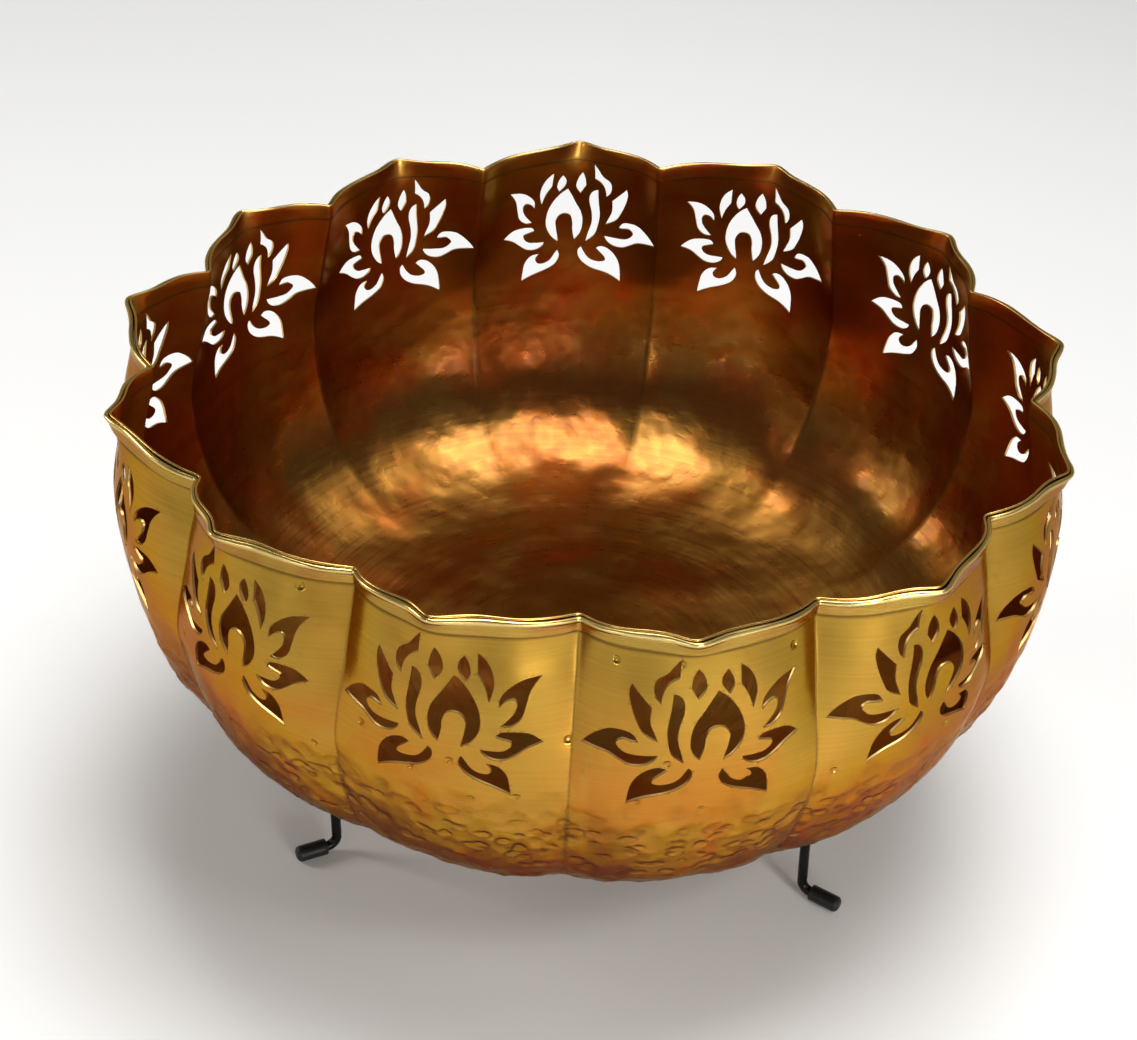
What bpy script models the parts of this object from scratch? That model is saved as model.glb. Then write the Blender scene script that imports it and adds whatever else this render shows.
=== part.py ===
"""Brass urli bowl: a pierced brass bowl of thirteen lobes on a black iron tripod stand.

Metres, +Z up. The origin is on the floor below the middle of the bowl, and -Y is the front.
Every place on the bowl's wall is given on one lobe's panel: `across` runs from -1 at one
crease over 0 at the lobe's crown to +1 at the next crease, and `down` is the length along
the wall from the rim, so a panel can be drawn flat and then bent to shape.
"""

import math

import bmesh
import bpy
import numpy as np
from mathutils import Vector
from mathutils.geometry import delaunay_2d_cdt

# ---------------------------------------------------------------- driving dimensions

GAP = 0.0003                    # left between touching pieces

LOBES = 13
SHEET = 0.0012                  # thickness of the brass sheet
RIM_HEIGHT = 0.2725             # floor to the rim at the creases
BELLY_RADIUS = 0.2304           # widest part of the bowl, over the crowns
BELLY_DEPTH = 0.190             # rim at the creases to the underside
BELLY_FALL = 0.1722             # how long the wall falls straight before it turns in
BELLY_FLAT = 0.2111             # how far out the round bottom stays flat

NECK_DEPTH = 0.0107             # the wall draws in just below the rim
NECK_FADE = 0.028
CREASE_DEPTH = 0.0150           # how deep a crease lies under the crowns, high on the wall
CREASE_DEPTH_LOW = 0.0045       # and below the lotus
CREASE_EASE = (0.035, 0.085)    # the stretch of wall where it gets shallower
CREASE_END = (0.12, 0.24)       # and the one where it dies out
CREASE_RIM_RISE = 0.0010
CREASE_RIM_FADE = 0.02
CREASE_POWER = 2.4              # how suddenly the wall turns into a crease
CREASE_RIM_POWER = 1.0          # added to that at the rim
CREASE_POWER_FADE = 0.03
TIP_REACH = 0.0089              # each lobe is pinched out to a point at the rim
TIP_FADE = 0.015
TIP_FADE_POWER = 1.4
TIP_WIDTH = 0.20                # of half a panel
TIP_SPREAD = 12.0               # how fast the pinch widens down the wall, per metre
TIP_POWER = 1.6                 # how suddenly the wall turns into the pinch
TIP_RISE = 0.0044               # a lobe's point stands higher than the creases
TIP_RISE_POWER = 0.6
TIP_RISE_FADE = 0.02
TIP_LEAN = math.radians(1.8)    # the points all lean one way, as beaten by hand
TIP_LEAN_FADE = 0.05

# The bowl is beaten by hand: its lobes are drawn round to one side and its rim is not quite
# round, a little oval and a little three-cornered.
TURN = math.radians(-2.4)
DRIFT = math.radians(3.3)
DRIFT_PHASE = math.radians(-1.3)
OVAL = 0.013
OVAL_PHASE = math.radians(20.0)
TRIANGLE = 0.012
TRIANGLE_PHASE = math.radians(42.0)
UNEVEN_END = 0.22               # the round bottom below this length of wall is true

BAND_HEIGHT = 0.0074            # strip fixed round the outside of the rim
BAND_THICKNESS = 0.0013
BAND_CHAMFER = 0.0005

RING_RADIUS = 0.141             # middle line of the stand's hoop
ROD_RADIUS = 0.0026             # iron rod of the hoop and the legs
BEND_RADIUS = 0.0055            # inside the foot's bend, to the rod's middle line
FOOT_REACH = 0.0200             # leg's middle line to the rod's end
SLEEVE_RADIUS = 0.0043
SLEEVE_LENGTH = 0.0165
SLEEVE_END = 0.0024             # solid rubber past the rod's end
SLEEVE_ROUND = 0.0024           # rounding of the sleeve's outer end
SLEEVE_LIP = 0.0004             # bevel round its mouth
# Each leg's direction, in degrees from +Y towards +X, and how far its foot leans out.
LEGS = {"back": (2.0, 0.0), "right": (122.5, 0.004), "left": (242.0, -0.0025)}

# ---------------------------------------------------------------- how finely it is drawn

RIM_STATIONS = (0.0, 0.1, 0.22, 0.45, 0.7, 0.88, 1.0)      # half a panel, crown to crease
WALL_STATIONS = (0.0, 0.25, 0.5, 0.75, 1.0)
BASE_STATIONS = (0.0, 0.5, 1.0)
POLE_STATIONS = (0.0, 1.0)
WALL_ROWS = (0.018, 0.030, 0.044, 0.058, 0.072, 0.086)
BASE_ROWS = (0.104, 0.124, 0.144, 0.164, 0.186, 0.210, 0.236)
POLE_ROWS = (0.262, 0.292)
GRID_CLEARANCE = 0.0030         # grid points keep this far from a cut edge
CUT_TOLERANCE = 0.0010          # a cut's outline may stray this far from the template
ROD_SIDES = 10
RING_STEPS = 60
BEND_STEPS = 5
SLEEVE_SIDES = 12
SLEEVE_ROUND_STEPS = 3
SMOOTH_ANGLE = math.radians(35.0)
WELD = 0.00001                  # points closer than this are one point
FLAT_WELD = 0.0000001           # and on a flat panel
SLOPE_SPAN = 0.004              # share of a panel over which its slope is measured
LEAST_WIDTH = 0.004             # a panel's width counts as no less than this, near the pole

# ---------------------------------------------------------------- lotus template

# Drawn flat and seen from inside the bowl, in millimetres: x to the right of the panel's
# crown, y down from the rim. "|" in front of a point marks a sharp corner.
LOTUS = {
    "left_upper_hook": "| -32 25, -26 26, -21.5 29, -18.5 33, | -18 37.5, -20 35, -22.5 34, -24 35.5,"
                       "-23.5 39.5, -21 43.5, | -18.5 46.5, -22 46.5, -25.5 43, -27 37, -28.5 30.5",
    "left_hook": "| -33.5 54.5, -28.5 50, -23 49, -18.5 49.5, | -17 52, -20 53, -22.5 54, -22 56.5,"
                 "-19.5 58.5, -15.5 59, | -11.5 59, -12.5 61.5, -16 63.5, -20.5 63, -24.5 60, -28 57",
    "left_lower_hook": "| -13.5 66, -18 67, -21 71, -22 76.5, | -22.5 82, -17 79, -10 76, -5.5 73,"
                       "-3.5 69, -3.5 66.5, | -4.5 64, -6 66.5, -8 70, -11.5 72, -14.5 71.5, -15.5 69",
    "left_blade": "| -10.5 16, -10.5 20, | -10.5 24.5, -13 29.5, | -14.5 35.5, -16 29, -15.5 23.5,"
                  "-13.5 19",
    "left_diamond": "| -6 17.5, -4 20.5, -4 24, | -6.5 28, -8 24.5, -7.5 20.5",
    "right_diamond": "| 4 16, 6 19.5, | 7 24, | 4.5 29, 1.5 24.5, 2 19.5",
    "flame": "| -2.5 26, -0.5 29.5, 3 35.5, 6 40.5, 7.5 46.5, 7 53, | 4 58, 2.5 52, 2 47, 0.5 43,"
             "-2.5 42, -5 43, -6.5 46.5, -6 51, -5 56, | -4.5 59, -8 56, -11 50, -11.5 43.5,"
             "-10 36.5, -6.5 30",
    "stem": "| 14 26, 15 33, 16.5 42, 16 49, 14.5 54.5, | 10 59, 11 54, 12.5 47, 12 41, 10 34,"
            "10 29.5, 11.5 27",
    "comma": "| 10 11, 12.5 13.5, 16 17.5, 20 20, 21.5 23.5, 21 27.5, | 19 30, 18.5 27, 17 23.5,"
             "14.5 21, | 11.5 19.5, 11 15.5",
    "right_blade": "| 30 23, 31 27, 30 33, 28 39, 25.5 44, | 20 47.5, 21.5 43.5, 23 38.5,"
                   "| 22.5 32, 25.5 28.5",
    "right_hook": "| 48.5 54.5, 46 51, 42.5 47.5, 38 44.5, 33 44, 29.5 45, | 27.5 48.5, 30 48.5,"
                  "33 48, 35.5 50, 35 52, 32 54.5, 27 55, | 20 54.5, 21.5 57.5, 25 60, 30 60.5,"
                  "34 58.5, 38 56, 43.5 55",
    "right_lower_hook": "| 30.5 81.5, 30 75, 29 70, 26.5 65.5, 22.5 62, 18.5 61, | 16 62.5,"
                        "18.5 65, 21 67.5, 21.5 69.5, 18.5 70.5, 14 69.5, 11 67, | 8 62, 6.5 64,"
                        "7 68, 10 72, 15 75, 22 77, 26.5 79",
}
TEMPLATE_UNIT = 0.001
LOTUS_HEIGHTEN = 1.04
LOTUS_DROP = -0.0015
PANEL_HALF_WIDTH = 0.0495       # flat width of half a panel, on which the template is laid
# Each lotus was marked out by hand: how much it is widened, and its shift to the right.
LOTUS_PLACES = (
    (1.00, 0.0), (0.95, -0.0063), (0.97, 0.0005), (0.98, 0.0005), (1.04, -0.0046),
    (1.03, -0.004), (1.04, -0.0048), (1.04, -0.0041), (1.02, -0.0035), (1.02, -0.003),
    (1.02, -0.002), (1.00, -0.0002), (0.98, 0.0008),
)


# ---------------------------------------------------------------- shape of the wall


def smooth_step(low, high, x):
    """0 below low, 1 above high, and a smooth rise between."""
    t = np.clip((x - low) / (high - low), 0.0, 1.0)
    return t * t * (3.0 - 2.0 * t)


def belly_profile(steps=2000):
    """Length along the wall, radius and height of the crown line, rim to pole."""
    t = np.linspace(0.0, 1.0, steps)
    radius = (
        (1 - t) ** 3 * BELLY_RADIUS
        + 3 * t * (1 - t) ** 2 * BELLY_RADIUS
        + 3 * t**2 * (1 - t) * BELLY_FLAT
    )
    height = -3 * t * (1 - t) ** 2 * BELLY_FALL - (3 * t**2 * (1 - t) + t**3) * BELLY_DEPTH
    length = np.concatenate([[0.0], np.cumsum(np.hypot(np.diff(radius), np.diff(height)))])
    return length, radius, height + RIM_HEIGHT


PROFILE = belly_profile()


def belly_point(down):
    """Radius and height of the crown line, and its outward direction, at a length down."""
    length, radius, height = PROFILE
    step = 0.0002
    run = np.interp(down + step, length, radius) - np.interp(down - step, length, radius)
    fall = np.interp(down + step, length, height) - np.interp(down - step, length, height)
    slant = np.hypot(run, fall)
    return np.interp(down, length, radius), np.interp(down, length, height), -fall / slant, run / slant


def relief(across, down):
    """How far the wall stands out from the plain belly: neck, crease and pinched tip."""
    side = np.abs(across)
    neck = NECK_DEPTH * np.exp(-((down / NECK_FADE) ** 2))
    depth = CREASE_DEPTH + (CREASE_DEPTH_LOW - CREASE_DEPTH) * smooth_step(*CREASE_EASE, down)
    depth = depth * (1 - smooth_step(*CREASE_END, down))
    depth = depth - CREASE_RIM_RISE * np.exp(-((down / CREASE_RIM_FADE) ** 2))
    power = CREASE_POWER + CREASE_RIM_POWER * np.exp(-down / CREASE_POWER_FADE)
    tip = TIP_REACH * np.exp(-((np.maximum(down, 0.0) / TIP_FADE) ** TIP_FADE_POWER))
    tip = tip * np.exp(-((side / (TIP_WIDTH + TIP_SPREAD * down)) ** TIP_POWER))
    return tip - neck - depth * side**power


def bearing(turn):
    """Real direction of the wall, from +Y towards +X, for an evenly divided one."""
    return turn + TURN - DRIFT * np.cos(turn - DRIFT_PHASE)


def wall_point(lobe, across, down, proud=0.0):
    """Point of the wall's outer face; proud moves it out by so much, or in if negative."""
    across = np.asarray(across, float)
    down = np.asarray(down, float)
    radius, height, out, up = belly_point(down)
    # A sloping stretch of wall is moved further, so that the sheet keeps its thickness.
    before = np.clip(across, -1 + SLOPE_SPAN, 1 - SLOPE_SPAN) - SLOPE_SPAN
    slope = (relief(before + 2 * SLOPE_SPAN, down) - relief(before, down)) / (2 * SLOPE_SPAN)
    slant = np.hypot(1.0, slope / (radius * math.pi / LOBES + LEAST_WIDTH))
    move = relief(across, down) + proud * slant
    rise = TIP_RISE * (1 - np.abs(across)) ** TIP_RISE_POWER
    rise = rise * np.exp(-np.maximum(down, 0.0) / TIP_RISE_FADE)
    pitch = math.tau / LOBES
    start = bearing((lobe - 0.5) * pitch)
    end = bearing((lobe + 0.5) * pitch)
    crown = bearing(lobe * pitch) + TIP_LEAN * np.exp(-down / TIP_LEAN_FADE)
    angle = np.where(across < 0, start + (crown - start) * (across + 1), crown + (end - crown) * across)
    fade = 1 - smooth_step(0.0, UNEVEN_END, down)
    turn = (lobe + across / 2) * pitch
    uneven = OVAL * np.cos(2 * (turn + OVAL_PHASE)) + TRIANGLE * np.cos(3 * (turn + TRIANGLE_PHASE))
    reach = (radius + out * move) * (1 - uneven * fade)
    return np.stack([reach * np.sin(angle), reach * np.cos(angle), height + rise + up * move], -1)


# ---------------------------------------------------------------- one panel, drawn flat


def read_outline(text, widen, shift):
    """Template text to panel points in metres, each with True where it is a corner."""
    outline = []
    for word in text.split(","):
        numbers = word.replace("|", "").split()
        x = widen * float(numbers[0]) * TEMPLATE_UNIT + shift
        y = LOTUS_HEIGHTEN * float(numbers[1]) * TEMPLATE_UNIT + LOTUS_DROP
        outline.append((Vector((x, y)), "|" in word))
    return outline


def distance_to_segment(point, start, end):
    """Distance from a flat point to a flat segment."""
    along = end - start
    share = max(0.0, min(1.0, (point - start).dot(along) / max(along.length_squared, 1e-12)))
    return (point - start - along * share).length


def thin_outline(outline):
    """Drop the smooth points that the outline hardly needs."""
    kept = list(outline)
    index = 0
    while index < len(kept):
        point, is_corner = kept[index]
        before = kept[index - 1][0]
        after = kept[(index + 1) % len(kept)][0]
        if not is_corner and distance_to_segment(point, before, after) < CUT_TOLERANCE:
            kept.pop(index)
        else:
            index += 1
    return [point for point, is_corner in kept]


def is_inside(point, outline):
    """Whether a flat point lies inside a closed flat outline."""
    inside = False
    for start, end in zip(outline, outline[1:] + outline[:1]):
        if (start.y > point.y) != (end.y > point.y):
            crossing = start.x + (point.y - start.y) * (end.x - start.x) / (end.y - start.y)
            if point.x < crossing:
                inside = not inside
    return inside


def is_clear(point, cuts):
    """Whether a grid point keeps away from every cut."""
    for cut in cuts:
        if is_inside(point, cut):
            return False
        for start, end in zip(cut, cut[1:] + cut[:1]):
            if distance_to_segment(point, start, end) < GRID_CLEARANCE:
                return False
    return True


def both_sides(stations):
    """Half a panel's stations, mirrored to run from crease to crease."""
    return [-s for s in reversed(stations) if s > 0] + list(stations)


def panel_rows():
    """Every row of grid points below the band: its length down the wall and its stations."""
    rows = [(BAND_HEIGHT, RIM_STATIONS)]
    rows += [(down, WALL_STATIONS) for down in WALL_ROWS]
    rows += [(down, BASE_STATIONS) for down in BASE_ROWS]
    rows += [(down, POLE_STATIONS) for down in POLE_ROWS]
    return [(down, both_sides(stations)) for down, stations in rows]


def flat_panel(widen, shift):
    """One pierced panel: its flat points, its triangles and the loops of its cuts."""
    cuts = [thin_outline(read_outline(text, widen, shift)) for text in LOTUS.values()]
    rows = panel_rows()
    points = []
    loops = []
    for cut in cuts:
        loops.append(list(range(len(points), len(points) + len(cut))))
        points += cut
    row_points = []
    for number, (down, stations) in enumerate(rows):
        kept = []
        for station in stations:
            point = Vector((station * PANEL_HALF_WIDTH, down))
            is_fixed = abs(station) == 1.0 or number in (0, len(rows) - 1)
            if is_fixed or is_clear(point, cuts):
                kept.append(len(points))
                points.append(point)
        row_points.append(kept)
    left = [row[0] for row in row_points[1:-1]]
    right = [row[-1] for row in row_points[1:-1]]
    border = row_points[0] + right + list(reversed(row_points[-1])) + list(reversed(left))
    edges = []
    for loop in loops + [border]:
        edges += list(zip(loop, loop[1:] + loop[:1]))
    result = delaunay_2d_cdt(points, edges, [], 0, FLAT_WELD)
    if len(result[0]) != len(points):
        raise ValueError("two points of the flat panel coincide or two cuts cross")
    renumbered = {}
    for new, olds in enumerate(result[3]):
        for old in olds:
            renumbered[old] = new
    loops = [[renumbered[i] for i in loop] for loop in loops]
    band_row = [renumbered[i] for i in row_points[0]]
    pole_row = [renumbered[i] for i in row_points[-1]]
    flat = [Vector(point) for point in result[0]]
    triangles = []
    for face in result[2]:
        middle = sum((flat[i] for i in face), Vector((0.0, 0.0))) / 3
        if not any(is_inside(middle, cut) for cut in cuts):
            triangles.append(tuple(face))
    # The strip under the band has the band's own facets, so the two stay parallel.
    rim_row = list(range(len(flat), len(flat) + len(band_row)))
    flat += [Vector((flat[i].x, 0.0)) for i in band_row]
    for i in range(len(band_row) - 1):
        triangles.append((band_row[i], rim_row[i], rim_row[i + 1]))
        triangles.append((band_row[i], rim_row[i + 1], band_row[i + 1]))
    return flat, triangles, loops, rim_row, pole_row


# ---------------------------------------------------------------- mesh helpers


def new_object(name, mesh, material):
    """Link a finished mesh as an object, shaded smooth with its sharp edges kept."""
    mesh.materials.append(material)
    mesh.shade_smooth()
    mesh.set_sharp_from_angle(angle=SMOOTH_ANGLE)
    piece = bpy.data.objects.new(name, mesh)
    bpy.context.scene.collection.objects.link(piece)
    return piece


def finish_bmesh(name, bm):
    """Weld the seams, turn the faces out and return the mesh."""
    bmesh.ops.remove_doubles(bm, verts=bm.verts, dist=WELD)
    bmesh.ops.recalc_face_normals(bm, faces=bm.faces)
    bmesh.ops.triangulate(bm, faces=bm.faces)
    mesh = bpy.data.meshes.new(name)
    bm.to_mesh(mesh)
    bm.free()
    return mesh


def skin_sections(bm, sections, closed):
    """Join rings of points into a tube; a tube that isn't closed round gets flat ends."""
    rings = [[bm.verts.new(point) for point in section] for section in sections]
    pairs = list(zip(rings, rings[1:]))
    if closed:
        pairs.append((rings[-1], rings[0]))
    else:
        bm.faces.new(list(reversed(rings[0])))
        bm.faces.new(rings[-1])
    for first, second in pairs:
        for i in range(len(first)):
            j = (i + 1) % len(first)
            bm.faces.new((first[i], first[j], second[j]))
            bm.faces.new((first[i], second[j], second[i]))


def circle_section(centre, axis_x, axis_y, radius, sides):
    """A ring of points round a centre, with a flat side facing along -axis_y."""
    section = []
    for i in range(sides):
        angle = math.tau * (i + 0.5) / sides - math.pi / 2
        section.append(centre + radius * (math.cos(angle) * axis_x + math.sin(angle) * axis_y))
    return section


# ---------------------------------------------------------------- the bowl


def make_bowl_shell(material):
    """The pierced and creased sheet, thirteen panels and a round bottom, as one body."""
    bm = bmesh.new()
    outer_pole = bm.verts.new((0.0, 0.0, RIM_HEIGHT - BELLY_DEPTH))
    inner_pole = bm.verts.new((0.0, 0.0, RIM_HEIGHT - BELLY_DEPTH + SHEET))
    for lobe in range(LOBES):
        flat, triangles, loops, rim, pole = flat_panel(*LOTUS_PLACES[lobe])
        across = np.array([point.x / PANEL_HALF_WIDTH for point in flat])
        down = np.array([point.y for point in flat])
        outer = [bm.verts.new(p) for p in wall_point(lobe, across, down)]
        inner = [bm.verts.new(p) for p in wall_point(lobe, across, down, -SHEET)]
        for a, b, c in triangles:
            bm.faces.new((outer[a], outer[b], outer[c]))
            bm.faces.new((inner[c], inner[b], inner[a]))
        for loop in loops:
            for a, b in zip(loop, loop[1:] + loop[:1]):
                bm.faces.new((outer[a], outer[b], inner[b], inner[a]))
        for a, b in zip(rim, rim[1:]):
            bm.faces.new((outer[a], outer[b], inner[b], inner[a]))
        for a, b in zip(pole, pole[1:]):
            bm.faces.new((outer[a], outer[b], outer_pole))
            bm.faces.new((inner[b], inner[a], inner_pole))
    return new_object("bowl_shell", finish_bmesh("bowl_shell", bm), material)


def make_rim_band(material):
    """The flat strip that follows the rim on the outside, its top level with the wall's."""
    inside = GAP
    outside = GAP + BAND_THICKNESS
    bevel = BAND_CHAMFER
    outline = (
        (0.0, inside),
        (0.0, outside - bevel),
        (bevel, outside),
        (BAND_HEIGHT - bevel, outside),
        (BAND_HEIGHT, outside - bevel),
        (BAND_HEIGHT, inside),
    )
    stations = np.array(both_sides(RIM_STATIONS)[:-1])
    sections = []
    for lobe in range(LOBES):
        corners = [wall_point(lobe, stations, down, proud) for down, proud in outline]
        sections += [[Vector(corner[i]) for corner in corners] for i in range(len(stations))]
    bm = bmesh.new()
    skin_sections(bm, sections, closed=True)
    return new_object("rim_band", finish_bmesh("rim_band", bm), material)


# ---------------------------------------------------------------- the stand


def hoop_height():
    """Height of the hoop's middle line, where it just carries the bowl's round bottom."""
    length, radius, height = PROFILE
    lowest = math.inf
    for r, z in zip(radius, height):
        aside = abs(r - RING_RADIUS)
        reach = ROD_RADIUS + GAP
        if aside < reach:
            lowest = min(lowest, z - math.sqrt(reach**2 - aside**2))
    return lowest


def make_stand_ring(material):
    """The round iron hoop that the bowl rests on."""
    height = hoop_height()
    sections = []
    for i in range(RING_STEPS):
        angle = math.tau * i / RING_STEPS
        out = Vector((math.sin(angle), math.cos(angle), 0.0))
        centre = out * RING_RADIUS + Vector((0.0, 0.0, height))
        sections.append(circle_section(centre, out, Vector((0.0, 0.0, 1.0)), ROD_RADIUS, ROD_SIDES))
    bm = bmesh.new()
    skin_sections(bm, sections, closed=True)
    return new_object("stand_ring", finish_bmesh("stand_ring", bm), material)


def make_leg_mesh(lean):
    """A leg in its own frame: it hangs from z = 0 and its foot points along +X."""
    top = -ROD_RADIUS - GAP
    foot = SLEEVE_RADIUS * math.cos(math.pi / SLEEVE_SIDES) - hoop_height()
    up = Vector((0.0, 0.0, 1.0))
    side = Vector((0.0, 1.0, 0.0))
    across = Vector((1.0, 0.0, 0.0))
    sections = [circle_section(Vector((0.0, 0.0, top)), across, side, ROD_RADIUS, ROD_SIDES)]
    centre = Vector((lean + BEND_RADIUS, 0.0, foot + BEND_RADIUS))
    for i in range(BEND_STEPS + 1):
        turn = math.pi / 2 * i / BEND_STEPS
        out = Vector((-math.cos(turn), 0.0, -math.sin(turn)))
        sections.append(circle_section(centre + out * BEND_RADIUS, -out, side, ROD_RADIUS, ROD_SIDES))
    end = Vector((lean + FOOT_REACH, 0.0, foot))
    sections.append(circle_section(end, up, side, ROD_RADIUS, ROD_SIDES))
    bm = bmesh.new()
    skin_sections(bm, sections, closed=False)
    return finish_bmesh("stand_leg", bm)


def make_sleeve_mesh(lean):
    """A rubber sleeve: a bore for the rod, open towards the leg, and a round closed end."""
    bore = ROD_RADIUS + GAP
    bottom = lean + FOOT_REACH + GAP
    end = bottom + SLEEVE_END
    mouth = end - SLEEVE_LENGTH
    lip = SLEEVE_LIP
    profile = [(bottom, bore), (mouth, bore), (mouth, SLEEVE_RADIUS - lip), (mouth + lip, SLEEVE_RADIUS)]
    for i in range(SLEEVE_ROUND_STEPS):
        turn = math.pi / 2 * i / SLEEVE_ROUND_STEPS
        x = end - SLEEVE_ROUND + SLEEVE_ROUND * math.sin(turn)
        radius = SLEEVE_RADIUS - SLEEVE_ROUND + SLEEVE_ROUND * math.cos(turn)
        profile.append((x, radius))
    profile.append((end, SLEEVE_RADIUS - SLEEVE_ROUND))
    height = SLEEVE_RADIUS * math.cos(math.pi / SLEEVE_SIDES) - hoop_height()
    side = Vector((0.0, 1.0, 0.0))
    up = Vector((0.0, 0.0, 1.0))
    sections = []
    for x, radius in profile:
        sections.append(circle_section(Vector((x, 0.0, height)), side, up, radius, SLEEVE_SIDES))
    bm = bmesh.new()
    skin_sections(bm, sections, closed=False)
    return finish_bmesh("foot_sleeve", bm)


def place_at_leg(piece, angle):
    """Turn a piece made along +X to a leg's direction and set it under the hoop."""
    bearing_angle = math.radians(angle)
    out = Vector((math.sin(bearing_angle), math.cos(bearing_angle), 0.0))
    piece.location = out * RING_RADIUS + Vector((0.0, 0.0, hoop_height()))
    piece.rotation_euler = (0.0, 0.0, math.pi / 2 - bearing_angle)


def make_legs(iron, rubber):
    """Three legs with their sleeves, a third of a turn apart."""
    for name, (angle, lean) in LEGS.items():
        place_at_leg(new_object("stand_leg_" + name, make_leg_mesh(lean), iron), angle)
        place_at_leg(new_object("foot_sleeve_" + name, make_sleeve_mesh(lean), rubber), angle)


# ---------------------------------------------------------------- materials and assembly


def make_material(name, colour, metallic, roughness):
    """A plain Principled material."""
    material = bpy.data.materials.new(name)
    material.use_nodes = True
    shader = material.node_tree.nodes["Principled BSDF"]
    shader.inputs["Base Color"].default_value = (*colour, 1.0)
    shader.inputs["Metallic"].default_value = metallic
    shader.inputs["Roughness"].default_value = roughness
    material.diffuse_color = (*colour, 1.0)
    return material


def clear_scene():
    """Start from nothing."""
    for piece in list(bpy.data.objects):
        bpy.data.objects.remove(piece, do_unlink=True)


def main():
    clear_scene()
    brass = make_material("brass", (0.60, 0.40, 0.12), 1.0, 0.33)
    band_brass = make_material("band_brass", (0.66, 0.50, 0.20), 1.0, 0.28)
    iron = make_material("black_iron", (0.012, 0.012, 0.013), 0.3, 0.45)
    rubber = make_material("black_rubber", (0.010, 0.010, 0.010), 0.0, 0.55)
    lifted = bpy.data.objects.new("bowl_lift", None)
    bpy.context.scene.collection.objects.link(lifted)
    for piece in (make_bowl_shell(brass), make_rim_band(band_brass)):
        piece.parent = lifted
    make_stand_ring(iron)
    make_legs(iron, rubber)


main()
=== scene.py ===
import math
import random

import bmesh
import bpy
import numpy as np
from mathutils import Matrix, Vector, kdtree, noise
from mathutils.geometry import delaunay_2d_cdt


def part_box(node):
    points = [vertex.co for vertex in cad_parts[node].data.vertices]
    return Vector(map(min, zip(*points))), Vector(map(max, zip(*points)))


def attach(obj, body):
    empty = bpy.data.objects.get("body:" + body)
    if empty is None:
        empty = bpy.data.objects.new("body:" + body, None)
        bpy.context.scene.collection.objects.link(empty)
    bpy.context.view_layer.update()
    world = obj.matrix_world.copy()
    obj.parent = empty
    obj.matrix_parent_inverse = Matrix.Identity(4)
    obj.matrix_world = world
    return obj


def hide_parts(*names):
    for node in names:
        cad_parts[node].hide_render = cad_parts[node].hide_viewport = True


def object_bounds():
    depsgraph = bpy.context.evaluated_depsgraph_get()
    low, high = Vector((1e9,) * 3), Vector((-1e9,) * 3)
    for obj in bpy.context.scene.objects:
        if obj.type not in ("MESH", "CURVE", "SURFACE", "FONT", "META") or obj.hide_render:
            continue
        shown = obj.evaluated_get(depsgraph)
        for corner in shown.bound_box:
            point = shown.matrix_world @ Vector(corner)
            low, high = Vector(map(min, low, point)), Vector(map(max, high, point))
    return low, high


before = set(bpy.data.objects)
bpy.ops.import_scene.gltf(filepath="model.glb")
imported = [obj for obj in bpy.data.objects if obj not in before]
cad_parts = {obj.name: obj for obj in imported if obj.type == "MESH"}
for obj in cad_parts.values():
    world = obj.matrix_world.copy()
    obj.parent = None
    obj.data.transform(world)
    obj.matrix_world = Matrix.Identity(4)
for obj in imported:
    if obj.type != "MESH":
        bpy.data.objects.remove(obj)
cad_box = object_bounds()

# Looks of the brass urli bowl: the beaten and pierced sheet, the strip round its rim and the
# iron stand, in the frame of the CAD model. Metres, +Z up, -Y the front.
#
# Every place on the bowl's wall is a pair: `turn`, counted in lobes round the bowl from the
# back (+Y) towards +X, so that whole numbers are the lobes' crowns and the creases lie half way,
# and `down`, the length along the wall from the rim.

# ---- the wall, as in the CAD model

LOBES = 13
PITCH = math.tau / LOBES
SHEET = 0.0012                  # thickness of the brass
RIM_HEIGHT = 0.2725
# The line down a crown: widest radius, depth, straight fall, and radius of the flat bottom.
BELLY_RADIUS = 0.2304
BELLY_DEPTH = 0.190
BELLY_FALL = 0.1722
BELLY_FLAT = 0.2111
# The wall draws in below the rim.
NECK_DEPTH = 0.0107
NECK_FADE = 0.028
# Depth of the creases: high on the wall, low on it, where it changes, where they die out.
CREASE_DEPTH = 0.0150
CREASE_DEPTH_LOW = 0.0045
CREASE_EASE = (0.035, 0.085)
CREASE_END = (0.12, 0.24)
CREASE_RIM_RISE = 0.0010
CREASE_RIM_FADE = 0.02
CREASE_POWER = 2.4
CREASE_RIM_POWER = 1.0
CREASE_POWER_FADE = 0.03
# Each lobe is pinched out to a point at the rim.
TIP_REACH = 0.0089
TIP_FADE = 0.015
TIP_FADE_POWER = 1.4
TIP_WIDTH = 0.20
TIP_SPREAD = 12.0
TIP_POWER = 1.6
TIP_ROUND = 0.030
TIP_RISE = 0.0044
TIP_RISE_POWER = 0.6
TIP_RISE_FADE = 0.02
TIP_LEAN = math.radians(1.8)
TIP_LEAN_FADE = 0.05
# The lobes are drawn round to one side; the rim is a little oval and three-cornered.
TURN = math.radians(-2.4)
DRIFT = math.radians(3.3)
DRIFT_PHASE = math.radians(-1.3)
OVAL = 0.013
OVAL_PHASE = math.radians(20.0)
TRIANGLE = 0.012
TRIANGLE_PHASE = math.radians(42.0)
UNEVEN_END = 0.22
SLOPE_SPAN = 0.004              # share of a panel used for its slope
LEAST_WIDTH = 0.004
FOLD_ROUND = (0.024, 0.034)     # how round the creases are, low down and at the rim
FOLD_ROUND_FADE = 0.011
BAND_HEIGHT = 0.0074

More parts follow.
